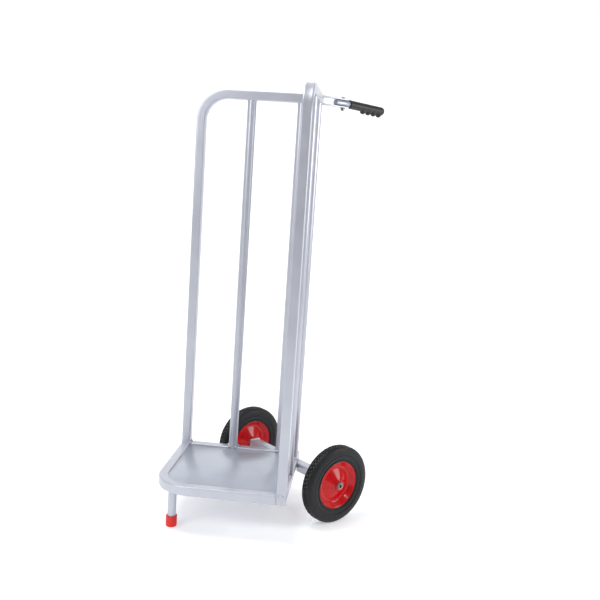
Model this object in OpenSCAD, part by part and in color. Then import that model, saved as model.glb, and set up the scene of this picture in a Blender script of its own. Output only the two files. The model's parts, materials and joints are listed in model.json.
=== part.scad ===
// Corner crate truck: a square platform that stands corner-first between two wheels,
// a tubular hoop fence on each rear side, a front leg and a swivelling pull handle.
// Millimetres. +X is forward along the platform's diagonal, +Y is left and +Z is up.
// The origin is on the floor under the middle of the overall box.

/* [Platform] */
// Side of the square platform, measured over its tubes
deck_side = 425; // [350:5:520]
// Outer radius of the bend at the front corner
deck_bend_radius = 115; // [80:5:150]
// Outside width of the square tube
tube_side = 30; // [25:1:36]
// Wall of every steel tube
tube_wall = 2; // [1.5:0.5:3]
// Outside radius of the square tube's long edges
tube_corner = 3; // [2.5:0.5:5]
// Thickness of the platform sheet
sheet_thickness = 2; // [1.5:0.5:4]
// Depth of the sheet's top below the top of the platform tubes
sheet_recess = 4; // [2:1:10]
// Width of the flat bar below the sheet
stiffener_width = 30; // [20:1:50]
// Thickness of the flat bar below the sheet
stiffener_thickness = 8; // [5:1:12]

/* [Hoops] */
// Height of the hoops above the top of the platform tubes
hoop_height = 1245; // [1000:5:1500]
// Outer radius of the bend at the top of each hoop
hoop_bend_radius = 105; // [80:5:130]
// Distance between uprights as a share of the platform side
post_pitch_share = 0.4; // [0.36:0.01:0.42]

/* [Wheels] */
// Radius of the tyre at the middle of its tread
wheel_radius = 130; // [110:1:160]
// Height of the tyre from the rim's lip to the tread
tyre_height = 50.5; // [40:0.5:60]
// Half the width of the tyre at its widest
tyre_half_width = 24.5; // [20:0.5:27]
// Distance from the middle of the truck to the middle of each wheel
half_track = 242; // [235:1:290]
// Distance of the axle line in front of the back corner
axle_forward = 45; // [30:1:70]
// Depth of the axle line below the top of the platform tubes
axle_drop = 28; // [20:1:45]
// Radius of the stub axles
axle_radius = 10; // [8:0.5:12]

/* [Leg] */
// Distance of the leg's centre from both front sides of the platform
leg_inset = 58; // [48:1:75]
// Outside diameter of the leg
leg_diameter = 27; // [22:1:34]
// Outside diameter of the rubber foot
foot_diameter = 35; // [32:1:45]
// Height of the rubber foot
foot_height = 36; // [25:1:50]

/* [Handle] */
// Distance from the back corner to the end of the grip
handle_reach = 280; // [240:5:340]
// Distance from the back corner to the fork bolt
bolt_back = 87; // [75:1:95]
// Distance from the back corner to the tips of the fork bars
fork_back = 112; // [105:1:120]
// Width of the fork bars
fork_width = 26; // [22:1:32]
// Thickness of the fork bars
fork_thickness = 4; // [3:0.5:6]
// Radius of the fork bolt
bolt_radius = 4; // [3:0.5:5]
// Droop of the handle below level, from its bend beside the fork to the grip's end
handle_tilt = 2.5; // [1:0.1:4]
// Radius of the grip
grip_radius = 15; // [14:0.5:18]

/* [Hidden] */
$fn = 96;

// Platform and hoop positions, in the corner frame
half_tube = tube_side / 2;
deck_top = wheel_radius + axle_drop;
bend_middle = deck_side - deck_bend_radius;
deck_bend_line = deck_bend_radius - half_tube;
deck_bend_inner = deck_bend_radius - tube_side;
sheet_top = -sheet_recess;
sheet_under = sheet_top - sheet_thickness;
hoop_line = hoop_height - half_tube;
hoop_middle_u = deck_side - hoop_bend_radius;
hoop_middle_z = hoop_height - hoop_bend_radius;
hoop_bend_line = hoop_bend_radius - half_tube;
leg_line = deck_side - half_tube;
post_pitch = deck_side * post_pitch_share;
mid_post_u = leg_line - post_pitch;
rear_post_u = leg_line - 2 * post_pitch;
post_radius = half_tube;

// Overall placing
front_reach = bend_middle * sqrt(2) + deck_bend_radius;
corner_x = (handle_reach - front_reach) / 2;

// Axle parts, measured outward from the middle of the truck
beam_depth = 36;
beam_height = 30;
plate_depth = 42;
plate_height = 36;
plate_thickness = 8;
hub_half_length = 26;
hub_radius = 17;
hub_bore = 12.5;
running_gap = 0.05;
bush_length = 14;
washer_thickness = 2;
washer_radius = 17;
ring_radius = 12.5;
ring_thickness = 2;
plate_outer = half_track - hub_half_length - washer_thickness - 1;
plate_inner = plate_outer - plate_thickness;
ring_inner = half_track + hub_half_length + 0.6;
stub_end = ring_inner + ring_thickness + 1.4;
stub_bore = 5;
stub_bore_depth = 15;

// Wheel profile
rim_radius = wheel_radius - tyre_height;
lip_half = 18.2;
groove_depth = 3;
groove_width = 2.6;

// Handle parts
fork_gap = tube_side - 2 * fork_thickness;
handle_radius = fork_gap / 2 - 0.35;
handle_wall = 1.8;
handle_inner_end = bolt_back - 35;
handle_bend = fork_back + 1 - bolt_back;
neck_radius = handle_radius - 0.9;
neck_lap = 5;
grip_start = 2;
grip_end = handle_reach - bolt_back - handle_bend;
grip_round = 9;
finger_first = 19;
finger_pitch = 25.7;
finger_radius = 11.6;
finger_round = 8;
finger_reach = 23.7;
head_height = 5.3;
hex_across_corners = 15;
nut_height = 7;
small_washer_thickness = 1.6;
small_washer_radius = 8;
bolt_below = 10;

weld_size = 3;
foot_floor = 6;
foot_round = 5;
far = 3000;

// ---------- frames ----------

// Corner frame: origin at the back corner on top of the platform tubes, x along the
// right rear side and y along the left rear side.
module in_corner() {
  translate([corner_x, 0, deck_top])
    rotate([0, 0, -45])
      children();
}

// Swaps the right rear side for the left one inside the corner frame.
module swapped() {
  mirror([1, -1, 0])
    children();
}

module on_side(side) {
  in_corner() {
    if (side > 0) {
      swapped() children();
    } else {
      children();
    }
  }
}

// Wheel frame: origin at the middle of the wheel, z pointing outward from the truck.
module in_wheel(side) {
  translate([corner_x + axle_forward, side * half_track, wheel_radius])
    rotate([-90 * side, 0, 0])
      children();
}

// Axle frame: as the wheel frame, but with its origin in the middle of the truck.
module on_axle(side) {
  translate([corner_x + axle_forward, 0, wheel_radius])
    rotate([-90 * side, 0, 0])
      children();
}

// Fork frame: origin on the bolt's axis, half way up the top bars.
module at_bolt() {
  translate([corner_x - bolt_back, 0, deck_top + hoop_line])
    children();
}

// Drooping end of the handle: z runs from the handle's bend towards the grip's end,
// and x is up.
module along_handle() {
  translate([-handle_bend, 0, 0])
    rotate([0, -90 - handle_tilt, 0])
      children();
}

// ---------- shared shapes ----------

module rounded_rectangle(width, height, radius) {
  square([width, height - 2 * radius], center = true);
  square([width - 2 * radius, height], center = true);
  for (x = [-1, 1])
    for (y = [-1, 1])
      translate([x * (width / 2 - radius), y * (height / 2 - radius)])
        circle(radius);
}

module tube_outline(width, height) {
  difference() {
    rounded_rectangle(width, height, tube_corner);
    rounded_rectangle(
      width - 2 * tube_wall, height - 2 * tube_wall, max(0.5, tube_corner - tube_wall)
    );
  }
}

// Square tube along +x from the origin.
module square_tube(length) {
  rotate([90, 0, 90])
    linear_extrude(length)
      tube_outline(tube_side, tube_side);
}

// Quarter bend in the xy plane from +x to +y.
module square_bend(line_radius) {
  rotate_extrude(angle = 90)
    translate([line_radius, 0])
      tube_outline(tube_side, tube_side);
}

module round_tube(length, radius, wall) {
  difference() {
    cylinder(h = length, r = radius);
    translate([0, 0, -1])
      cylinder(h = length + 2, r = radius - wall);
  }
}

// Solid round bar with a rounded far end.
module round_ended(length, radius, round_by) {
  rotate_extrude()
    intersection() {
      union() {
        square([radius - round_by, length]);
        square([radius, length - round_by]);
        translate([radius - round_by, length - round_by])
          circle(round_by);
      }
      square([radius, length]);
    }
}

// Everything on the left of the diagonal, for the mitres at the back corner.
module beyond_diagonal() {
  rotate([0, 0, 45])
    translate([-far / 2, 0, -far / 2])
      cube([far, far, far]);
}

// Everything on the back corner's side of the line between the two side corners, for
// the mitres there.
module behind_side_corners() {
  translate([deck_side, 0, 0])
    rotate([0, 0, 45])
      translate([-far, -far / 2, -far / 2])
        cube([far, far, far]);
}

// ---------- platform ----------

module platform_outer_tube() {
  color("lightsteelblue")
    in_corner()
      difference() {
        translate([0, 0, -half_tube]) {
          translate([leg_line, 0, 0])
            rotate([0, 0, 90])
              square_tube(bend_middle);
          translate([bend_middle, bend_middle, 0])
            square_bend(deck_bend_line);
          translate([0, leg_line, 0])
            square_tube(bend_middle);
        }
        behind_side_corners();
      }
}

module rear_rail(side) {
  color("lightsteelblue")
    on_side(side)
      intersection() {
        difference() {
          translate([0, half_tube, -half_tube])
            square_tube(deck_side);
          beyond_diagonal();
        }
        behind_side_corners();
      }
}

module right_rear_rail() {
  rear_rail(-1);
}

module left_rear_rail() {
  rear_rail(1);
}

module deck_sheet() {
  straight = bend_middle - tube_side;
  full = deck_side - 2 * tube_side;
  color("silver")
    in_corner()
      translate([tube_side, tube_side, sheet_under])
        linear_extrude(sheet_thickness) {
          square([straight, full]);
          square([full, straight]);
          translate([straight, straight])
            circle(deck_bend_inner);
        }
}

module deck_stiffener() {
  leg_at = (deck_side - leg_inset) * sqrt(2);
  color("silver")
    in_corner()
      difference() {
        intersection() {
          rotate([0, 0, 45])
            translate([0, -stiffener_width / 2, sheet_under - stiffener_thickness])
              cube([leg_at, stiffener_width, stiffener_thickness]);
          translate([tube_side, tube_side, -tube_side])
            cube([deck_side, deck_side, tube_side]);
        }
        translate([deck_side - leg_inset, deck_side - leg_inset, -tube_side])
          cylinder(h = tube_side, r = leg_diameter / 2);
      }
}

// ---------- hoops ----------

module hoop(side) {
  color("lightsteelblue")
    on_side(side)
      difference() {
        union() {
          translate([leg_line, half_tube, 0])
            rotate([0, -90, 0])
              square_tube(hoop_middle_z);
          translate([hoop_middle_u, half_tube, hoop_middle_z])
            rotate([90, 0, 0])
              square_bend(hoop_bend_line);
          translate([0, half_tube, hoop_line])
            square_tube(hoop_middle_u);
        }
        beyond_diagonal();
      }
}

module right_hoop() {
  hoop(-1);
}

module left_hoop() {
  hoop(1);
}

module post(side, along) {
  color("lightsteelblue")
    on_side(side)
      translate([along, half_tube, 0])
        round_tube(hoop_height - tube_side, post_radius, tube_wall);
}

module right_mid_post() {
  post(-1, mid_post_u);
}

module left_mid_post() {
  post(1, mid_post_u);
}

module right_rear_post() {
  post(-1, rear_post_u);
}

module left_rear_post() {
  post(1, rear_post_u);
}

// ---------- axle ----------

module axle_beam(side) {
  color("lightsteelblue")
    difference() {
      on_axle(side)
        linear_extrude(plate_inner)
          tube_outline(beam_depth, beam_height);
      on_side(side)
        translate([-far / 2, 0, -far / 2])
          cube([far, far, far]);
    }
}

module right_axle_beam() {
  axle_beam(-1);
}

module left_axle_beam() {
  axle_beam(1);
}

module axle_plate(side) {
  color("silver")
    on_axle(side)
      translate([0, 0, plate_inner])
        linear_extrude(plate_thickness)
          rounded_rectangle(plate_depth, plate_height, 4);
}

module right_axle_plate() {
  axle_plate(-1);
}

module left_axle_plate() {
  axle_plate(1);
}

module stub_axle(side) {
  color("gray")
    on_axle(side)
      difference() {
        translate([0, 0, plate_outer])
          cylinder(h = stub_end - plate_outer, r = axle_radius);
        translate([0, 0, stub_end - stub_bore_depth])
          cylinder(h = stub_bore_depth + 1, r = stub_bore);
      }
}

module right_stub_axle() {
  stub_axle(-1);
}

module left_stub_axle() {
  stub_axle(1);
}

module inner_washer(side) {
  color("gray")
    on_axle(side)
      translate([0, 0, plate_outer])
        round_tube(washer_thickness, washer_radius, washer_radius - axle_radius);
}

module right_inner_washer() {
  inner_washer(-1);
}

module left_inner_washer() {
  inner_washer(1);
}

module retaining_ring(side) {
  outer = axle_radius + ring_radius - 10;
  color("gray")
    on_axle(side)
      translate([0, 0, ring_inner])
        round_tube(ring_thickness, outer, outer - axle_radius);
}

module right_retaining_ring() {
  retaining_ring(-1);
}

module left_retaining_ring() {
  retaining_ring(1);
}

// ---------- wheels ----------

module tyre(side) {
  middle = wheel_radius - tyre_half_width - 1;
  color("dimgray")
    in_wheel(side)
      rotate_extrude()
        difference() {
          union() {
            translate([middle, 0])
              circle(tyre_half_width);
            polygon([
              [rim_radius - 15.5, -2], [rim_radius - 2.1, -14.6], [rim_radius, -16.6],
              [rim_radius, -lip_half], [middle, -tyre_half_width], [wheel_radius - 8, -19],
              [wheel_radius - 1.5, -16.5], [wheel_radius, -12], [wheel_radius, 12],
              [wheel_radius - 1.5, 16.5], [wheel_radius - 8, 19], [middle, tyre_half_width],
              [rim_radius, lip_half], [rim_radius, 16.6], [rim_radius - 2.1, 14.6],
              [rim_radius - 15.5, 2]
            ]);
          }
          for (t = [-8, 0, 8])
            translate([wheel_radius - groove_depth, t - groove_width / 2])
              square([groove_depth + 1, groove_width]);
          square([rim_radius - 15.5, 80], center = false);
          polygon([
            [0, -lip_half - 9], [rim_radius, -lip_half - 9], [rim_radius, -16.6],
            [rim_radius - 2.1, -14.6], [rim_radius - 15.5, -2], [rim_radius - 15.5, 2],
            [rim_radius - 2.1, 14.6], [rim_radius, 16.6], [rim_radius, lip_half + 9],
            [0, lip_half + 9]
          ]);
        }
}

module rim_half(side, face) {
  color("firebrick")
    in_wheel(side)
      mirror([0, 0, face > 0 ? 0 : 1])
        rotate_extrude()
          polygon([
            [rim_radius, lip_half], [rim_radius - 3.5, 16.5], [rim_radius - 17.3, 3.6],
            [rim_radius - 19.5, 2.4], [rim_radius - 24.2, 2.4], [hub_radius + 3.5, 20.4],
            [hub_radius, 22.5], [hub_radius, 20.2], [hub_radius + 2.4, 18.4],
            [rim_radius - 24.6, 0], [rim_radius - 15.5, 0], [rim_radius - 15.5, 2],
            [rim_radius - 2.1, 14.6], [rim_radius, 16.6]
          ]);
}

module hub(side) {
  color("firebrick")
    in_wheel(side)
      translate([0, 0, -hub_half_length])
        round_tube(2 * hub_half_length, hub_radius, hub_radius - hub_bore);
}

module bushes(side) {
  bore = axle_radius + running_gap;
  color("gray")
    in_wheel(side)
      for (end = [-hub_half_length, hub_half_length - bush_length])
        translate([0, 0, end])
          round_tube(bush_length, hub_bore, hub_bore - bore);
}

module left_tyre() {
  tyre(1);
}

module left_rim_outer() {
  rim_half(1, 1);
}

module left_rim_inner() {
  rim_half(1, -1);
}

module left_hub() {
  hub(1);
}

module left_bushes() {
  bushes(1);
}

module right_tyre() {
  tyre(-1);
}

module right_rim_outer() {
  rim_half(-1, 1);
}

module right_rim_inner() {
  rim_half(-1, -1);
}

module right_hub() {
  hub(-1);
}

module right_bushes() {
  bushes(-1);
}

// ---------- leg ----------

// The leg's top is coped round the inside of the front bend.
module leg_tube() {
  at = deck_side - leg_inset;
  color("lightsteelblue")
    in_corner()
      difference() {
        translate([at, at, foot_floor - deck_top])
          round_tube(deck_top - foot_floor + sheet_under, leg_diameter / 2, tube_wall);
        translate([bend_middle, bend_middle, -tube_side])
          difference() {
            cylinder(h = tube_side + 1, r = deck_side);
            translate([0, 0, -1])
              cylinder(h = tube_side + 3, r = deck_bend_inner);
          }
      }
}

module rubber_foot() {
  at = deck_side - leg_inset;
  radius = foot_diameter / 2;
  color("firebrick")
    in_corner()
      translate([at, at, -deck_top])
        difference() {
          rotate_extrude() {
            square([radius - foot_round, foot_height]);
            translate([0, foot_round])
              square([radius, foot_height - foot_round]);
            translate([radius - foot_round, foot_round])
              circle(foot_round);
          }
          translate([0, 0, foot_floor])
            cylinder(h = foot_height, r = leg_diameter / 2);
        }
}

// ---------- handle ----------

// Flat bar with a rounded tip, notched to seat on the back corner of the top bars.
module fork_bar(bottom) {
  color("lightsteelblue")
    translate([corner_x, 0, deck_top + bottom])
      linear_extrude(fork_thickness)
        difference() {
          union() {
            translate([fork_width / 2 - fork_back, -fork_width / 2])
              square([fork_back, fork_width]);
            translate([fork_width / 2 - fork_back, 0])
              circle(fork_width / 2);
          }
          rotate(-45)
            square([deck_side, deck_side]);
          translate([-bolt_back, 0])
            circle(bolt_radius);
        }
}

module fork_upper_bar() {
  fork_bar(hoop_height - fork_thickness);
}

module fork_lower_bar() {
  fork_bar(hoop_height - tube_side);
}

module fork_bolt() {
  top = half_tube + small_washer_thickness;
  color("gainsboro")
    at_bolt() {
      translate([0, 0, -half_tube - bolt_below])
        cylinder(h = top + half_tube + bolt_below, r = bolt_radius);
      translate([0, 0, top])
        cylinder(h = head_height, d = hex_across_corners, $fn = 6);
    }
}

module fork_washers() {
  color("gainsboro")
    at_bolt()
      for (bottom = [half_tube, -half_tube - small_washer_thickness])
        translate([0, 0, bottom])
          round_tube(
            small_washer_thickness, small_washer_radius, small_washer_radius - bolt_radius
          );
}

module fork_nut() {
  color("gainsboro")
    at_bolt()
      translate([0, 0, -half_tube - small_washer_thickness - nut_height])
        difference() {
          cylinder(h = nut_height, d = hex_across_corners, $fn = 6);
          translate([0, 0, -1])
            cylinder(h = nut_height + 2, r = bolt_radius);
        }
}

// Solid bar that follows the handle tube: level in the fork, then necked down and drooping
// inside the grip. Its bore, with inset as the wall, stops short of the end in the fork
// and runs past the other end by extra.
module handle_bar(inset, extra) {
  translate([2 * extra - handle_bend, 0, 0])
    rotate([0, 90, 0])
      cylinder(h = bolt_back - handle_inner_end + handle_bend - 4.5 * extra,
               r = handle_radius - inset);
  along_handle()
    translate([0, 0, -neck_lap])
      cylinder(h = neck_lap + grip_end - 12 + extra, r = neck_radius - inset);
}

// Tube on the fork bolt, closed in the fork, with its free end inside the grip.
module handle_tube() {
  color("lightsteelblue")
    at_bolt()
      difference() {
        handle_bar(0, 0);
        handle_bar(handle_wall, 1);
        translate([0, 0, -tube_side])
          cylinder(h = 2 * tube_side, r = bolt_radius + running_gap);
      }
}

// Finger bump that stands out below the grip.
module finger_bump() {
  rotate([0, -90, 0])
    round_ended(finger_reach, finger_radius, finger_round);
}

// Round grip with four finger bumps below and a closed, rounded end.
module grip() {
  length = grip_end - grip_start;
  color("dimgray")
    at_bolt()
      along_handle()
        difference() {
          union() {
            translate([0, 0, grip_start])
              round_ended(length, grip_radius, grip_round);
            for (i = [0:3])
              translate([0, 0, grip_end - finger_first - i * finger_pitch])
                finger_bump();
          }
          translate([0, 0, grip_start - 1])
            cylinder(h = grip_end - 12 - grip_start + 1, r = neck_radius);
        }
}

// ---------- welds ----------

// Fillet ring round an upright, kept to the width of the tube it stands on.
module upright_bead(along) {
  intersection() {
    translate([along, half_tube, 0])
      rotate_extrude()
        polygon([
          [post_radius, 0], [post_radius + weld_size, 0], [post_radius, weld_size]
        ]);
    translate([0, 0, -1])
      cube([deck_side, tube_side, tube_side]);
  }
}

module side_beads() {
  for (along = [mid_post_u, rear_post_u]) {
    upright_bead(along);
    translate([0, 0, hoop_height - tube_side])
      mirror([0, 0, 1])
        upright_bead(along);
  }
  translate([deck_side - tube_side, tube_side - tube_corner, 0])
    rotate([90, 0, 0])
      linear_extrude(tube_side - 2 * tube_corner)
        polygon([[0, 0], [-weld_size, 0], [0, weld_size]]);
}

module weld_beads() {
  color("silver") {
    on_side(-1)
      side_beads();
    on_side(1)
      side_beads();
  }
}

// ---------- nodes ----------

platform_outer_tube();
right_rear_rail();
left_rear_rail();
deck_sheet();
deck_stiffener();
right_hoop();
left_hoop();
right_mid_post();
left_mid_post();
right_rear_post();
left_rear_post();
right_axle_beam();
left_axle_beam();
right_axle_plate();
left_axle_plate();
right_stub_axle();
left_stub_axle();
right_inner_washer();
left_inner_washer();
right_retaining_ring();
left_retaining_ring();
leg_tube();
rubber_foot();
fork_upper_bar();
fork_lower_bar();
fork_bolt();
fork_washers();
fork_nut();
weld_beads();
left_tyre();
left_rim_outer();
left_rim_inner();
left_hub();
left_bushes();
right_tyre();
right_rim_outer();
right_rim_inner();
right_hub();
right_bushes();
handle_tube();
grip();
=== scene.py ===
import json
import math
import random

import bpy
from mathutils import Euler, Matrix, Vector


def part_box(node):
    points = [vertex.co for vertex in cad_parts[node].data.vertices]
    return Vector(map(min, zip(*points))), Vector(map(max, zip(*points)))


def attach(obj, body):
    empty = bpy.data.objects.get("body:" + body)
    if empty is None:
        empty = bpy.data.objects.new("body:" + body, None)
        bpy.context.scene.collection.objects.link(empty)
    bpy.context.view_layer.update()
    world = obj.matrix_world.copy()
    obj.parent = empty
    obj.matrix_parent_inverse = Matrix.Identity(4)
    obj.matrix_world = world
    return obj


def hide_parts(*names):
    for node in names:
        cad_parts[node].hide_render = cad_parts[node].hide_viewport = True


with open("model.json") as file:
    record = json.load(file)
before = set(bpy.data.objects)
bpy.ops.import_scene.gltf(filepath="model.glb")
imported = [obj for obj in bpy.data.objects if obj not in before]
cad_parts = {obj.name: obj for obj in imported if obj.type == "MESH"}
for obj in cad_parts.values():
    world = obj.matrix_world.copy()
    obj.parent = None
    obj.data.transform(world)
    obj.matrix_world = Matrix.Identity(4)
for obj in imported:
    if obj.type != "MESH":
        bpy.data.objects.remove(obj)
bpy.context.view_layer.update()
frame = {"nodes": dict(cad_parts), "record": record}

mm = 0.001
turn = 2 * math.pi
dice = random.Random(7)

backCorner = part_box("right_hoop")[0][0]  # x of the back corner of the tubes
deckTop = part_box("right_hoop")[0][2]  # top of the platform tubes
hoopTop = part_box("right_hoop")[1][2] - deckTop


# Helpers

def hexColour(code):
    parts = [int(code[i:i + 2], 16) / 255 for i in (0, 2, 4)]
    linear = [p / 12.92 if p <= 0.04045 else ((p + 0.055) / 1.055) ** 2.4 for p in parts]
    return (*linear, 1.0)


def addNode(mat, kind, feeds, stops=(), **settings):
    node = mat.node_tree.nodes.new(kind)
    for key, value in settings.items():
        setattr(node, key, value)
    for socket, value in feeds.items():
        if isinstance(value, bpy.types.NodeSocket):
            mat.node_tree.links.new(value, node.inputs[socket])
        else:
            node.inputs[socket].default_value = value
    for element, (place, code) in zip(node.color_ramp.elements if stops else (), stops):
        element.position = place
        element.color = hexColour(code)
    return node


def startMaterial(name, sockets):
    mat = bpy.data.materials.new(name)
    mat.use_nodes = True
    shader = mat.node_tree.nodes["Principled BSDF"]
    for socket, value in sockets.items():
        shader.inputs[socket].default_value = value
    return mat, shader


def wire(mat, output, shader, socket):
    mat.node_tree.links.new(output, shader.inputs[socket])


def onlyActive(obj):
    bpy.ops.object.select_all(action="DESELECT")
    obj.select_set(True)
    bpy.context.view_layer.objects.active = obj


def applyModifiers(obj):
    onlyActive(obj)
    for modifier in list(obj.modifiers):
        bpy.ops.object.modifier_apply(modifier=modifier.name)


def settle(obj):
    onlyActive(obj)
    bpy.ops.object.transform_apply(location=True, rotation=True, scale=True)


def cleanShell(obj, distance=0.00001):
    onlyActive(obj)
    bpy.ops.object.mode_set(mode="EDIT")
    bpy.ops.mesh.select_all(action="SELECT")
    bpy.ops.mesh.remove_doubles(threshold=distance)
    bpy.ops.mesh.normals_make_consistent(inside=False)
    bpy.ops.object.mode_set(mode="OBJECT")


def pick(obj, kind, test):
    # leaves the mesh in edit mode with only the faces or edges that pass the test selected
    onlyActive(obj)
    bpy.ops.object.mode_set(mode="EDIT")
    bpy.ops.mesh.select_mode(type=kind)
    bpy.ops.mesh.select_all(action="DESELECT")
    bpy.ops.object.mode_set(mode="OBJECT")
    for item in obj.data.polygons if kind == "FACE" else obj.data.edges:
        item.select = test(item)
    bpy.ops.object.mode_set(mode="EDIT")


def softenEdges(obj, width, segments=2, angle=35):
    bevel = obj.modifiers.new("softEdges", "BEVEL")
    bevel.width = width * mm
    bevel.segments = segments
    bevel.limit_method = "ANGLE"
    bevel.angle_limit = math.radians(angle)
    applyModifiers(obj)


def middleOf(node):
    low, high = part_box(node)
    return [(a + b) / 2 for a, b in zip(low, high)]


def finishPiece(obj, name, mat, body, nodes, angle=32):
    onlyActive(obj)
    bpy.ops.object.shade_smooth_by_angle(angle=math.radians(angle))
    obj.name = name
    obj.data.name = name
    obj.data.materials.clear()
    obj.data.materials.append(mat)
    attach(obj, body)
    if nodes:
        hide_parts(*nodes)
    return obj


def drawSection(points):
    # a circle with one corner for each point of the section, moved to those points
    bpy.ops.object.select_all(action="DESELECT")
    bpy.ops.mesh.primitive_circle_add(vertices=len(points), radius=0.01)
    obj = bpy.context.object
    for corner, point in zip(obj.data.vertices, points):
        corner.co = Vector(point) * mm
    return obj


def spinSection(points, steps):
    obj = drawSection([(r, 0, t) for r, t in points])
    bpy.ops.object.mode_set(mode="EDIT")
    bpy.ops.mesh.select_all(action="SELECT")
    bpy.ops.mesh.spin(steps=steps, angle=turn, center=(0, 0, 0), axis=(0, 0, 1))
    bpy.ops.object.mode_set(mode="OBJECT")
    cleanShell(obj)
    return obj


def toWheel(obj, side):
    sign = 1 if side == "left" else -1
    obj.rotation_euler = (-sign * math.pi / 2, 0, 0)
    obj.location = middleOf(side + "_tyre")
    settle(obj)


def fromCorner(u, v, z):
    # u runs along the right rear side, v along the left one, z up from the platform tubes
    root = math.sqrt(2)
    return Vector((backCorner + (u + v) / root * mm, (v - u) / root * mm, deckTop + z * mm))


print("helpers ready")

# Materials

def makePowderCoat():
    # polyester powder coat, sprayed and baked: even silver-grey with a faint orange peel
    mat, shader = startMaterial("silverPowderCoat", {
        "Metallic": 0.45, "Roughness": 0.34, "Coat Weight": 0.3, "Coat Roughness": 0.16})
    place = addNode(mat, "ShaderNodeTexCoord", {}).outputs["Object"]
    clouds = addNode(mat, "ShaderNodeTexNoise", {
        "Vector": place, "Scale": 8.0, "Detail": 5.0, "Roughness": 0.6})  # 120 mm clouds
    tone = addNode(mat, "ShaderNodeValToRGB", {"Fac": clouds.outputs["Fac"]},
                   stops=[(0.3, "B6B9C4"), (0.72, "C0C3CD")])
    gloss = addNode(mat, "ShaderNodeMapRange", {
        "Value": clouds.outputs["Fac"], "To Min": 0.28, "To Max": 0.4})
    peel = addNode(mat, "ShaderNodeTexNoise", {
        "Vector": place, "Scale": 420.0, "Detail": 2.0})  # 2.4 mm orange peel
    bump = addNode(mat, "ShaderNodeBump", {
        "Height": peel.outputs["Fac"], "Strength": 0.16, "Distance": 0.0003})
    wire(mat, tone.outputs["Color"], shader, "Base Color")
    wire(mat, gloss.outputs["Result"], shader, "Roughness")
    wire(mat, bump.outputs["Normal"], shader, "Normal")
    return mat


def makeSheetCoat():
    # the same coat on rolled sheet, rubbed by crates: duller, with long faint scuffs
    mat, shader = startMaterial("scuffedSheetCoat", {"Metallic": 0.5, "Roughness": 0.3})
    place = addNode(mat, "ShaderNodeTexCoord", {}).outputs["Object"]
    along = addNode(mat, "ShaderNodeMapping", {
        "Vector": place, "Rotation": (0, 0, math.radians(45)), "Scale": (6.0, 240.0, 6.0)})
    scuffs = addNode(mat, "ShaderNodeTexNoise", {
        "Vector": along.outputs["Vector"], "Scale": 1.0, "Detail": 4.0})  # 4 mm wide scuffs
    clouds = addNode(mat, "ShaderNodeTexNoise", {"Vector": place, "Scale": 12.0, "Detail": 4.0})
    tone = addNode(mat, "ShaderNodeValToRGB", {"Fac": clouds.outputs["Fac"]},
                   stops=[(0.32, "AEB3BE"), (0.7, "B5BAC5")])
    gloss = addNode(mat, "ShaderNodeMapRange", {
        "Value": scuffs.outputs["Fac"], "To Min": 0.275, "To Max": 0.29})
    grain = addNode(mat, "ShaderNodeTexNoise", {"Vector": place, "Scale": 420.0})
    bump = addNode(mat, "ShaderNodeBump", {
        "Height": grain.outputs["Fac"], "Strength": 0.08, "Distance": 0.0002})
    wire(mat, tone.outputs["Color"], shader, "Base Color")
    wire(mat, gloss.outputs["Result"], shader, "Roughness")
    wire(mat, bump.outputs["Normal"], shader, "Normal")
    return mat


def makeEnamel():
    # stoved gloss enamel on pressed steel: deep red under a hard clear shine
    mat, shader = startMaterial("redStovedEnamel", {
        "Roughness": 0.22, "Specular IOR Level": 0.25, "Coat Weight": 0.25,
        "Coat Roughness": 0.04, "IOR": 1.45})
    place = addNode(mat, "ShaderNodeTexCoord", {}).outputs["Object"]
    clouds = addNode(mat, "ShaderNodeTexNoise", {"Vector": place, "Scale": 30.0, "Detail": 3.0})
    tone = addNode(mat, "ShaderNodeValToRGB", {"Fac": clouds.outputs["Fac"]},
                   stops=[(0.3, "B8020C"), (0.7, "C80510")])
    peel = addNode(mat, "ShaderNodeTexNoise", {"Vector": place, "Scale": 330.0, "Detail": 2.0})
    bump = addNode(mat, "ShaderNodeBump", {
        "Height": peel.outputs["Fac"], "Strength": 0.1, "Distance": 0.0003})
    wire(mat, tone.outputs["Color"], shader, "Base Color")
    wire(mat, bump.outputs["Normal"], shader, "Normal")
    return mat


# radii and half width, in metres, of the pale band on the tread: dust in the notches plus a
# painted highlight on their edges
dustAndHighlight = {"top": (0.1281, 0.1277), "floor": (0.1266, 0.1270), "half": 0.0096}


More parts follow.
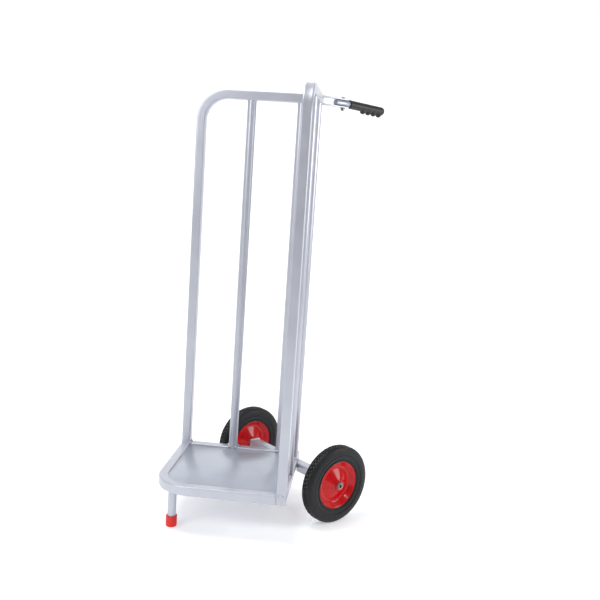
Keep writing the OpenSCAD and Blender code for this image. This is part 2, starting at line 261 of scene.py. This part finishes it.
def makeTyreRubber():
    # vulcanised carbon-black rubber: dull charcoal with a dusty bloom, and a pale tread band that
    # is dust plus a painted highlight on the notch edges
    mat, shader = startMaterial("vulcanisedTyreRubber", {
        "Roughness": 0.6, "Specular IOR Level": 0.3, "IOR": 1.52})
    place = addNode(mat, "ShaderNodeTexCoord", {}).outputs["Object"]
    bloom = addNode(mat, "ShaderNodeTexNoise", {
        "Vector": place, "Scale": 26.0, "Detail": 6.0, "Roughness": 0.65})
    tone = addNode(mat, "ShaderNodeValToRGB", {"Fac": bloom.outputs["Fac"]},
                   stops=[(0.34, "121316"), (0.74, "1D1E21")])
    hub = middleOf("left_tyre")
    centred = addNode(mat, "ShaderNodeMapping", {
        "Vector": place, "Location": (-hub[0], 0, -hub[2]), "Scale": (1, 0, 1)})
    radius = addNode(mat, "ShaderNodeVectorMath", {0: centred.outputs["Vector"]},
                     operation="LENGTH")
    below = addNode(mat, "ShaderNodeMapRange", {
        "Value": radius.outputs["Value"],
        "From Min": dustAndHighlight["top"][0], "From Max": dustAndHighlight["top"][1]})
    above = addNode(mat, "ShaderNodeMapRange", {
        "Value": radius.outputs["Value"],
        "From Min": dustAndHighlight["floor"][0], "From Max": dustAndHighlight["floor"][1]})
    band = addNode(mat, "ShaderNodeMath", {
        0: below.outputs["Result"], 1: above.outputs["Result"]}, operation="MULTIPLY")
    sideways = addNode(mat, "ShaderNodeSeparateXYZ", {0: place}).outputs["Y"]
    offCentre = addNode(mat, "ShaderNodeMath", {0: sideways}, operation="ABSOLUTE")
    offTread = addNode(mat, "ShaderNodeMath", {
        0: offCentre.outputs["Value"], 1: abs(hub[1])}, operation="SUBTRACT")
    tread = addNode(mat, "ShaderNodeMath", {
        0: offTread.outputs["Value"], 1: 0.0, 2: dustAndHighlight["half"]}, operation="COMPARE")
    # mask of the pale band: dust in the notches, and a painted highlight standing in for the
    # bright notch edges
    paleBandOnTread = addNode(mat, "ShaderNodeMath", {
        0: band.outputs["Value"], 1: tread.outputs["Value"]}, operation="MULTIPLY")
    patchy = addNode(mat, "ShaderNodeMath", {
        0: paleBandOnTread.outputs["Value"], 1: bloom.outputs["Fac"]}, operation="MULTIPLY")
    dustAndHighlightTone = addNode(mat, "ShaderNodeMixRGB", {
        "Fac": patchy.outputs["Value"], "Color1": tone.outputs["Color"],
        "Color2": hexColour("E2E1DD")})  # pale dust in the grooves, plus a painted highlight on the notch edges
    grain = addNode(mat, "ShaderNodeTexNoise", {"Vector": place, "Scale": 900.0, "Detail": 3.0})
    rough = addNode(mat, "ShaderNodeMapRange", {
        "Value": bloom.outputs["Fac"], "To Min": 0.38, "To Max": 0.56})
    bump = addNode(mat, "ShaderNodeBump", {
        "Height": grain.outputs["Fac"], "Strength": 0.25, "Distance": 0.0003})
    wire(mat, dustAndHighlightTone.outputs["Color"], shader, "Base Color")
    wire(mat, rough.outputs["Result"], shader, "Roughness")
    wire(mat, bump.outputs["Normal"], shader, "Normal")
    return mat


def makeFootRubber():
    # moulded red rubber: soft sheen, a little darker where dirt settles
    mat, shader = startMaterial("mouldedRedRubber", {
        "Roughness": 0.5, "Specular IOR Level": 0.35, "IOR": 1.5})
    place = addNode(mat, "ShaderNodeTexCoord", {}).outputs["Object"]
    dirt = addNode(mat, "ShaderNodeTexNoise", {"Vector": place, "Scale": 60.0, "Detail": 5.0})
    tone = addNode(mat, "ShaderNodeValToRGB", {"Fac": dirt.outputs["Fac"]},
                   stops=[(0.3, "D4201F"), (0.7, "E2302C")])
    bump = addNode(mat, "ShaderNodeBump", {
        "Height": dirt.outputs["Fac"], "Strength": 0.15, "Distance": 0.0004})
    wire(mat, tone.outputs["Color"], shader, "Base Color")
    wire(mat, bump.outputs["Normal"], shader, "Normal")
    return mat


def makeGripVinyl():
    # dipped and moulded black vinyl: nearly black, fine pebble, soft highlights
    mat, shader = startMaterial("mouldedBlackVinyl", {"Roughness": 0.46, "IOR": 1.5})
    place = addNode(mat, "ShaderNodeTexCoord", {}).outputs["Object"]
    pebble = addNode(mat, "ShaderNodeTexVoronoi", {"Vector": place, "Scale": 700.0})
    wear = addNode(mat, "ShaderNodeTexNoise", {"Vector": place, "Scale": 45.0, "Detail": 4.0})
    tone = addNode(mat, "ShaderNodeValToRGB", {"Fac": wear.outputs["Fac"]},
                   stops=[(0.35, "17171A"), (0.75, "242428")])
    gloss = addNode(mat, "ShaderNodeMapRange", {
        "Value": wear.outputs["Fac"], "To Min": 0.36, "To Max": 0.58})
    bump = addNode(mat, "ShaderNodeBump", {
        "Height": pebble.outputs["Distance"], "Strength": 0.2, "Distance": 0.0002})
    wire(mat, tone.outputs["Color"], shader, "Base Color")
    wire(mat, gloss.outputs["Result"], shader, "Roughness")
    wire(mat, bump.outputs["Normal"], shader, "Normal")
    return mat


def makeZinc():
    # bright zinc plate on turned steel: pale grey metal with uneven gloss
    mat, shader = startMaterial("brightZincPlate", {"Metallic": 1.0, "Roughness": 0.34})
    place = addNode(mat, "ShaderNodeTexCoord", {}).outputs["Object"]
    spangle = addNode(mat, "ShaderNodeTexNoise", {"Vector": place, "Scale": 260.0, "Detail": 4.0})
    tone = addNode(mat, "ShaderNodeValToRGB", {"Fac": spangle.outputs["Fac"]},
                   stops=[(0.3, "75746F"), (0.7, "94938E")])
    gloss = addNode(mat, "ShaderNodeMapRange", {
        "Value": spangle.outputs["Fac"], "To Min": 0.26, "To Max": 0.46})
    wire(mat, tone.outputs["Color"], shader, "Base Color")
    wire(mat, gloss.outputs["Result"], shader, "Roughness")
    return mat


powderCoat = makePowderCoat()
sheetCoat = makeSheetCoat()
redEnamel = makeEnamel()
tyreRubber = makeTyreRubber()
footRubber = makeFootRubber()
gripVinyl = makeGripVinyl()
zincPlate = makeZinc()
print("materials ready")

# Parts that keep their shape: merged copies with softened edges

keptParts = {
    "platform_outer_tube": (powderCoat, "frame_coat", 0),
    "right_rear_rail": (powderCoat, "frame_coat", 0),
    "left_rear_rail": (powderCoat, "frame_coat", 0),
    "deck_sheet": (sheetCoat, "sheet_coat", 0.3),
    "deck_stiffener": (sheetCoat, "sheet_coat", 0.5),
    "right_mid_post": (powderCoat, "frame_coat", 0),
    "left_mid_post": (powderCoat, "frame_coat", 0),
    "right_rear_post": (powderCoat, "frame_coat", 0),
    "left_rear_post": (powderCoat, "frame_coat", 0),
    "right_axle_beam": (powderCoat, "frame_coat", 0),
    "left_axle_beam": (powderCoat, "frame_coat", 0),
    "right_axle_plate": (powderCoat, "frame_coat", 0.8),
    "left_axle_plate": (powderCoat, "frame_coat", 0.8),
    "right_stub_axle": (zincPlate, "zinc_steel", 0.5),
    "left_stub_axle": (zincPlate, "zinc_steel", 0.5),
    "right_inner_washer": (zincPlate, "zinc_steel", 0.3),
    "left_inner_washer": (zincPlate, "zinc_steel", 0.3),
    "right_retaining_ring": (zincPlate, "zinc_steel", 0.4),
    "left_retaining_ring": (zincPlate, "zinc_steel", 0.4),
    "leg_tube": (powderCoat, "frame_coat", 0),
    "fork_upper_bar": (powderCoat, "frame_coat", 0.5),
    "fork_lower_bar": (powderCoat, "frame_coat", 0.5),
    "fork_bolt": (zincPlate, "zinc_steel", 0.5),
    "fork_washers": (zincPlate, "zinc_steel", 0.3),
    "fork_nut": (zincPlate, "zinc_steel", 0.6),
    "left_hub": (redEnamel, "red_enamel", 0.6),
    "right_hub": (redEnamel, "red_enamel", 0.6),
    "left_bushes": (zincPlate, "zinc_steel", 0.3),
    "right_bushes": (zincPlate, "zinc_steel", 0.3),
    "handle_tube": (powderCoat, "frame_coat", 0.4),
}


def camel(words):
    first, *rest = words.split("_")
    return first + "".join(word.title() for word in rest)


def keepPart(node, mat, edge):
    source = frame["nodes"][node]
    copy = source.copy()
    copy.data = source.data.copy()
    bpy.context.scene.collection.objects.link(copy)
    copy.parent = None
    copy.matrix_world = source.matrix_world.copy()
    settle(copy)
    cleanShell(copy, 0.000002)
    bpy.ops.object.mode_set(mode="EDIT")
    bpy.ops.mesh.select_all(action="SELECT")
    bpy.ops.mesh.dissolve_limited(angle_limit=math.radians(0.4))
    bpy.ops.object.mode_set(mode="OBJECT")
    if edge:
        softenEdges(copy, edge)
    bodies = frame["record"]["behaviour"]["bodies"]
    body = next(name for name, members in bodies.items() if node in members)
    finishPiece(copy, camel(node), mat, body, [node])


for node, (mat, slotName, edge) in keptParts.items():
    keepPart(node, mat, edge)
print("kept parts ready")

# Hoops: one square tube each, with ripples on the inside of the cold bend

hoop = {
    "width": 30, "corner": 3, "reach": 425, "bend": 105, "bendSteps": 48,
    "ripples": 6, "rippleDepth": 0.9, "sink": 0.9, "skin": 0.6,
}


def squareSection(width, corner, middleU, middleV):
    half = width / 2
    points = []
    for quarter in range(4):
        mid = math.radians(45 + 90 * quarter)
        cu = middleU + math.copysign(half - corner, math.cos(mid))
        cv = middleV + math.copysign(half - corner, math.sin(mid))
        for step in range(5):
            angle = math.radians(90 * quarter + 22.5 * step)
            points.append((cu + corner * math.cos(angle), cv + corner * math.sin(angle), 0))
        following = math.radians(90 * (quarter + 1))
        side = Vector((math.cos(following), math.sin(following)))
        across = Vector((-side.y, side.x))
        for share in (-0.66, -0.33, 0, 0.33, 0.66):
            spot = Vector((middleU, middleV)) + side * half + across * (half - corner) * share
            points.append((spot.x, spot.y, 0))
    return points


def makeHoop(side):
    half = hoop["width"] / 2
    legLine = hoop["reach"] - half
    bendU = hoop["reach"] - hoop["bend"]
    bendZ = hoopTop / mm - hoop["bend"]
    obj = drawSection(squareSection(hoop["width"], hoop["corner"], legLine, half))
    bpy.ops.object.mode_set(mode="EDIT")
    bpy.ops.mesh.select_all(action="SELECT")
    bpy.ops.mesh.extrude_region_move(TRANSFORM_OT_translate={"value": (0, 0, bendZ * mm)})
    bpy.ops.mesh.spin(steps=hoop["bendSteps"], angle=math.pi / 2,
                      center=(bendU * mm, 0, bendZ * mm), axis=(0, 1, 0))
    bpy.ops.mesh.extrude_region_move(TRANSFORM_OT_translate={"value": (-bendU * mm, 0, 0)})
    bpy.ops.object.mode_set(mode="OBJECT")
    for corner in obj.data.vertices:
        u, v, z = [c / mm for c in corner.co]
        if u < bendU - 1:
            corner.co.x = v * mm  # mitre on the plane between the two hoops
            continue
        if z < bendZ - 0.01 or u < bendU - 0.01:
            continue
        reach = Vector((u - bendU, z - bendZ))
        angle = math.atan2(reach.y, reach.x)
        swell = math.sin(2 * angle) ** 0.5 if 0 < angle < math.pi / 2 else 0
        flat = max(0, 1 - ((v - half) / (half - 1)) ** 2)
        inner = hoop["bend"] - hoop["width"]
        shift = 0
        if reach.length < inner + hoop["skin"]:
            wave = math.sin(angle * 4 * hoop["ripples"])
            shift = -hoop["rippleDepth"] * wave * swell * flat
        elif reach.length > hoop["bend"] - hoop["skin"]:
            shift = -hoop["sink"] * swell * flat
        reach = reach.normalized() * (reach.length + shift)
        corner.co.x = (bendU + reach.x) * mm
        corner.co.z = (bendZ + reach.y) * mm
    bpy.ops.object.mode_set(mode="EDIT")
    bpy.ops.mesh.select_all(action="SELECT")
    bpy.ops.mesh.remove_doubles(threshold=0.00001)
    bpy.ops.mesh.select_all(action="DESELECT")
    bpy.ops.mesh.select_non_manifold()
    bpy.ops.mesh.fill_holes(sides=0)
    bpy.ops.object.mode_set(mode="OBJECT")
    obj.rotation_euler = (0, 0, math.radians(-45))
    obj.location = (backCorner, 0, deckTop)
    settle(obj)
    if side == "left":
        obj.scale = (1, -1, 1)
        settle(obj)
    cleanShell(obj)
    finishPiece(obj, side + "Hoop", powderCoat, "frame", [side + "_hoop"])


makeHoop("right")
makeHoop("left")
print("hoops ready")

# Tyres: moulded section with ridged sidewalls, three grooves and cut blocks

tyre = {
    "steps": 180, "notchEvery": 3, "notchDepth": 2.6, "blockInner": 1.4, "blockOuter": 6.4,
    "wall": [
        (64.3, 2.2), (77.6, 14.8), (79.6, 16.8), (79.7, 18.9), (81.4, 20.4), (83.0, 20.8),
        (84.2, 22.9), (86.4, 23.4), (87.8, 21.2), (90.0, 21.0), (94.5, 22.4), (98.0, 23.1),
        (99.0, 24.8), (101.4, 24.9), (102.6, 23.4), (105.0, 23.6), (109.0, 23.7),
        (113.0, 22.9), (117.0, 22.2), (120.4, 21.0), (120.9, 20.2), (123.8, 19.0),
        (126.5, 17.0), (128.4, 14.7), (129.5, 12.2), (130.0, 9.6), (127.2, 9.2),
        (127.2, 6.8), (130.0, 6.4), (130.0, 1.4), (127.4, 1.0),
    ],
}


def makeTyre(side):
    wall = tyre["wall"]
    section = wall + [(r, -t) for r, t in reversed(wall)]
    obj = spinSection(section, tyre["steps"])
    stepAngle = turn / tyre["steps"]

    def isNotch(face):
        x, y, t = [c / mm for c in face.center]
        onBlock = tyre["blockInner"] < abs(t) < tyre["blockOuter"] and math.hypot(x, y) > 129
        step = int((math.atan2(y, x) % turn) / stepAngle) + (1 if t > 0 else 0)
        return onBlock and step % tyre["notchEvery"] == 0

    pick(obj, "FACE", isNotch)
    bpy.ops.mesh.extrude_region_move(TRANSFORM_OT_translate={"value": (0, 0, 0)})
    bpy.ops.object.mode_set(mode="OBJECT")
    for corner in obj.data.vertices:
        if corner.select:
            radius = math.hypot(corner.co.x, corner.co.y)
            share = (radius - tyre["notchDepth"] * mm) / radius
            corner.co.x *= share
            corner.co.y *= share
    toWheel(obj, side)
    finishPiece(obj, side + "TyreMoulded", tyreRubber, side + "_wheel", [side + "_tyre"],
                angle=38)


makeTyre("left")
makeTyre("right")
print("tyres ready")

# Rims: two pressed dishes back to back, with a rolled lip and a swaged hub collar

rim = {
    "steps": 144,
    "section": [
        (79.4, 16.5), (79.5, 17.4), (79.0, 18.1), (78.1, 18.3), (77.0, 17.8), (75.6, 16.3),
        (73.6, 14.5), (65.4, 6.7), (63.4, 4.7), (61.8, 3.5), (60.0, 2.7), (57.6, 2.4),
        (55.8, 2.6), (53.8, 3.3), (24.0, 18.6), (22.0, 19.7), (20.4, 20.9), (19.2, 22.2),
        (18.0, 22.8), (17.05, 22.8), (17.05, 20.4), (19.4, 18.6), (54.9, 0.1), (63.8, 0.1),
        (64.0, 2.0), (77.3, 14.6),
    ],
}


def makeRim(side, face):
    obj = spinSection(rim["section"], rim["steps"])
    if face == "inner":
        obj.scale = (1, 1, -1)
        settle(obj)
        cleanShell(obj)
    toWheel(obj, side)
    finishPiece(obj, side + face.title() + "Rim", redEnamel, side + "_wheel",
                [side + "_rim_" + face], angle=50)


for side in ("left", "right"):
    for face in ("outer", "inner"):
        makeRim(side, face)
print("rims ready")

# Foot: rubber ferrule with a rounded tread and a lipped mouth

foot = {"radius": 17.5, "height": 36, "wall": 3.9, "mouth": 20, "round": 4.5, "lip": 0.9}


def makeFoot():
    bpy.ops.object.select_all(action="DESELECT")
    bpy.ops.mesh.primitive_cylinder_add(
        vertices=96, radius=foot["radius"] * mm, depth=foot["height"] * mm,
        location=middleOf("rubber_foot"))
    obj = bpy.context.object
    settle(obj)
    pick(obj, "FACE", lambda face: face.normal.z > 0.9)
    bpy.ops.mesh.inset(thickness=foot["wall"] * mm)
    bpy.ops.mesh.extrude_region_move(
        TRANSFORM_OT_translate={"value": (0, 0, -foot["mouth"] * mm)})
    bpy.ops.object.mode_set(mode="OBJECT")
    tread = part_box("rubber_foot")[0][2] + 0.1 * mm
    heights = [corner.co.z for corner in obj.data.vertices]
    pick(obj, "EDGE", lambda edge: max(heights[i] for i in edge.vertices) < tread)
    bpy.ops.mesh.bevel(offset=foot["round"] * mm, segments=6, affect="EDGES")
    bpy.ops.object.mode_set(mode="OBJECT")
    softenEdges(obj, foot["lip"], 3, 60)
    finishPiece(obj, "redFoot", footRubber, "frame", ["rubber_foot"])


makeFoot()
print("foot ready")

# Grip: moulded sleeve with a collar, a domed end and four finger ridges below

grip = {
    "radius": 14.6, "collar": 15.0, "collarLength": 7, "start": 2, "end": 167,
    "bend": 26, "drop": 15, "tilt": 2.5, "ridgeFirst": 19, "ridgePitch": 25.7, "ridgeReach": 23.6,
    "ridgeHalf": (11.4, 11.8, 9.6), "voxel": 0.9, "smooth": 7,
}


def makeGrip():
    boltX = middleOf("fork_bolt")[0]
    pivot = Vector((boltX - grip["bend"] * mm, 0, deckTop + hoopTop - grip["drop"] * mm))
    length = grip["end"] - grip["start"]
    parts = []
    bpy.ops.object.select_all(action="DESELECT")
    bpy.ops.mesh.primitive_cylinder_add(
        vertices=72, radius=grip["radius"] * mm, depth=length * mm,
        location=(0, 0, (grip["start"] + grip["end"]) / 2 * mm))
    parts.append(bpy.context.object)
    softenEdges(parts[0], 8, 6, 60)
    bpy.ops.object.select_all(action="DESELECT")
    bpy.ops.mesh.primitive_cylinder_add(
        vertices=72, radius=grip["collar"] * mm, depth=grip["collarLength"] * mm,
        location=(0, 0, (grip["start"] + grip["collarLength"] / 2) * mm))
    parts.append(bpy.context.object)
    softenEdges(parts[1], 1.4, 3, 60)
    for count in range(4):
        along = grip["end"] - grip["ridgeFirst"] - count * grip["ridgePitch"]
        bpy.ops.object.select_all(action="DESELECT")
        bpy.ops.mesh.primitive_uv_sphere_add(
            segments=40, ring_count=24, radius=1,
            location=(-(grip["ridgeReach"] - grip["ridgeHalf"][0]) * mm, 0, along * mm))
        ridge = bpy.context.object
        ridge.scale = [half * mm for half in grip["ridgeHalf"]]
        settle(ridge)
        parts.append(ridge)
    bpy.ops.object.select_all(action="DESELECT")
    for part in parts:
        part.select_set(True)
    bpy.context.view_layer.objects.active = parts[0]
    bpy.ops.object.join()
    obj = bpy.context.object
    settle(obj)
    melt = obj.modifiers.new("melt", "REMESH")
    melt.mode = "VOXEL"
    melt.voxel_size = grip["voxel"] * mm
    ease = obj.modifiers.new("ease", "SMOOTH")
    ease.factor = 0.5
    ease.iterations = grip["smooth"]
    applyModifiers(obj)
    obj.rotation_euler = Euler((0, math.radians(-90 - grip["tilt"]), 0))
    obj.location = pivot
    settle(obj)
    finishPiece(obj, "gripSleeve", gripVinyl, "handle", ["grip"], angle=60)


makeGrip()
print("grip ready")

# Welds: overlapping lumps laid along each seam

weld = {"pitch": 2.6, "radius": 1.9, "height": 1.5, "spread": 0.25, "blob": 3.0, "lift": 1.15}


def seam(start, end):
    start, end = Vector(start), Vector(end)
    count = max(2, round((end - start).length / weld["pitch"]))
    return [start.lerp(end, i / count) for i in range(count + 1)]


def ringSeam(u, v, z, radius, keep):
    count = round(turn * radius / weld["pitch"])
    spots = []
    for i in range(count):
        angle = turn * i / count
        spot = Vector((u + radius * math.cos(angle), v + radius * math.sin(angle), z))
        if keep(spot):
            spots.append(spot)
    return spots


def sideSeams():
    tall = hoopTop / mm
    onTube = lambda spot: 1.5 < spot.y < 28.5
    spots = []
    for post in (240, 70):
        spots += ringSeam(post, 15, 0.4, 15.9, onTube)
        spots += ringSeam(post, 15, tall - 30.4, 15.9, onTube)
    spots += seam((394.4, 2, 0.4), (394.4, 28, 0.4))
    spots += seam((398, -0.1, 0), (420, -0.1, 0))
    spots += seam((425, 3, 0), (425, 27, 0))
    spots += seam((398, 30.2, 0.2), (422, 30.2, 0.2))
    spots += seam((425.1, 30, -4), (425.1, 30, -26))
    spots += seam((3, 3, tall - 0.2), (28, 28, tall - 0.2))
    spots += seam((3, 3, tall - 29.8), (28, 28, tall - 29.8))
    spots += seam((3, 3, -0.2), (28, 28, -0.2))
    spots += seam((30.3, 30.3, -3), (30.3, 30.3, -27))
    spots += seam((1.5, -0.2, tall - 4.4), (17, -0.2, tall - 4.4))
    spots += seam((1.5, -0.2, tall - 25.6), (17, -0.2, tall - 25.6))
    spots += seam((40, -0.6, -12.8), (87, -0.6, -12.8))
    spots += seam((38.6, -0.4, -15), (38.6, -0.4, -28))
    spots += seam((88.6, -0.4, -15), (88.6, -0.4, -28))
    return spots


def sideBlobs():
    # heavier tacks at the feet of the posts and along the foot of the leg
    blobs = [(post + du, v, 0.8) for post in (240, 70)
             for du, v in ((10, 27.5), (-11, 27), (17, 5), (-16.5, 9))]
    blobs += [(421.5, v, 0.8) for v in (6, 16, 27.5)]
    blobs += [(395.5, v, 1.0) for v in (3, 27)]
    return blobs


def legSeam():
    inside = lambda spot: (spot - Vector((310, 310, spot.z))).length < 83
    return ringSeam(367, 367, -6.6, 14.2, inside)


def layWelds():
    bpy.ops.object.select_all(action="DESELECT")
    bpy.ops.mesh.primitive_ico_sphere_add(subdivisions=2, radius=1)
    lump = bpy.context.object
    places = [(*spot, 1.0) for spot in sideSeams()]
    places += [(*spot, weld["blob"]) for spot in sideBlobs()]
    places += [(v, u, z, share) for u, v, z, share in places]
    places += [(*spot, 1.0) for spot in legSeam()]
    copies = []
    for u, v, z, share in places:
        copy = lump.copy()
        copy.data = lump.data.copy()
        bpy.context.scene.collection.objects.link(copy)
        size = share * weld["radius"] * (1 + weld["spread"] * dice.uniform(-1, 1))
        lift = weld["lift"] if share > 1 else 1
        copy.scale = (size * mm, size * mm, share * weld["height"] * mm * lift)
        copy.rotation_euler = (0, 0, dice.uniform(0, turn))
        copy.location = fromCorner(u, v, z)
        copies.append(copy)
    bpy.ops.object.select_all(action="DESELECT")
    for copy in copies:
        copy.select_set(True)
    bpy.context.view_layer.objects.active = copies[0]
    bpy.ops.object.join()
    beads = bpy.context.object
    settle(beads)
    bpy.data.objects.remove(lump)
    finishPiece(beads, "weldBeads", powderCoat, "frame", ["weld_beads"], angle=80)


layWelds()
print("welds ready")

# Studio: pale sweep, big soft lamps and the camera

studio = {
    "floorHalf": 9.0, "wallBehind": 3.2, "wallHeight": 7.0, "bend": 1.6, "paper": "F4F5F6",
    "world": "FFFFFF", "worldStrength": 0.28, "glow": 0.36,
}
lamps = {
    "overhead": {"at": (0.9, -0.6, 3.4), "aim": (0.1, 0, 0.4), "size": 1.5, "watts": 54},
    "frontLeft": {"at": (3.6, 0.6, 2.2), "aim": (0, 0, 0.7), "size": 1.8, "watts": 46},
    "rightSide": {"at": (-1.9, 2.3, 1.5), "aim": (-0.1, 0, 0.6), "size": 1.3, "watts": 40},
    "sparkle": {"at": (0.9, 3.0, 2.4), "aim": (0, 0.2, 0.2), "size": 0.3, "watts": 8},
}
shot = {
    "at": (1.5927, 2.0106, 1.1062), "turned": (81.391, -3.827, 140.634), "lens": 46.07,
}


def makeSweep():
    facing = math.atan2(shot["at"][1], shot["at"][0])
    bpy.ops.object.select_all(action="DESELECT")
    bpy.ops.mesh.primitive_plane_add(size=2 * studio["floorHalf"], location=(0, 0, 0))
    paper = bpy.context.object
    for corner in paper.data.vertices:
        if corner.co.x < 0:
            corner.co.x = -studio["wallBehind"]
    spots = [corner.co.copy() for corner in paper.data.vertices]
    pick(paper, "EDGE", lambda edge: all(spots[i].x < 0 for i in edge.vertices))
    bpy.ops.mesh.extrude_region_move(
        TRANSFORM_OT_translate={"value": (0, 0, studio["wallHeight"])})
    bpy.ops.object.mode_set(mode="OBJECT")
    spots = [corner.co.copy() for corner in paper.data.vertices]
    pick(paper, "EDGE", lambda edge: all(spots[i].x < 0 and spots[i].z < 0.01
                                         for i in edge.vertices))
    bpy.ops.mesh.bevel(offset=studio["bend"], segments=24, affect="EDGES")
    bpy.ops.object.mode_set(mode="OBJECT")
    paper.rotation_euler = (0, 0, facing)
    settle(paper)
    bpy.ops.object.shade_smooth()
    mat, shader = startMaterial("matteBackdropPaper", {
        "Base Color": hexColour(studio["paper"]), "Roughness": 0.95,
        "Emission Color": hexColour(studio["paper"]), "Emission Strength": studio["glow"]})
    paper.data.materials.append(mat)
    paper.name = "paperSweep"


def hangLamps():
    for name, facts in lamps.items():
        lamp = bpy.data.lights.new(name, "AREA")
        lamp.size = facts["size"]
        lamp.energy = facts["watts"]
        holder = bpy.data.objects.new(name, lamp)
        bpy.context.scene.collection.objects.link(holder)
        holder.location = facts["at"]
        away = Vector(facts["at"]) - Vector(facts["aim"])
        holder.rotation_euler = away.to_track_quat("Z", "Y").to_euler()
    world = bpy.data.worlds.new("studioAir")
    world.use_nodes = True
    air = world.node_tree.nodes["Background"]
    air.inputs["Color"].default_value = hexColour(studio["world"])
    air.inputs["Strength"].default_value = studio["worldStrength"]
    bpy.context.scene.world = world


def setCamera():
    lens = bpy.data.cameras.new("shopCamera")
    lens.lens = shot["lens"]
    lens.sensor_width = 36
    camera = bpy.data.objects.new("shopCamera", lens)
    bpy.context.scene.collection.objects.link(camera)
    camera.location = shot["at"]
    camera.rotation_euler = [math.radians(a) for a in shot["turned"]]
    bpy.context.scene.camera = camera


makeSweep()
hangLamps()
setCamera()
bpy.context.scene.view_settings.view_transform = "Standard"
print("studio ready")
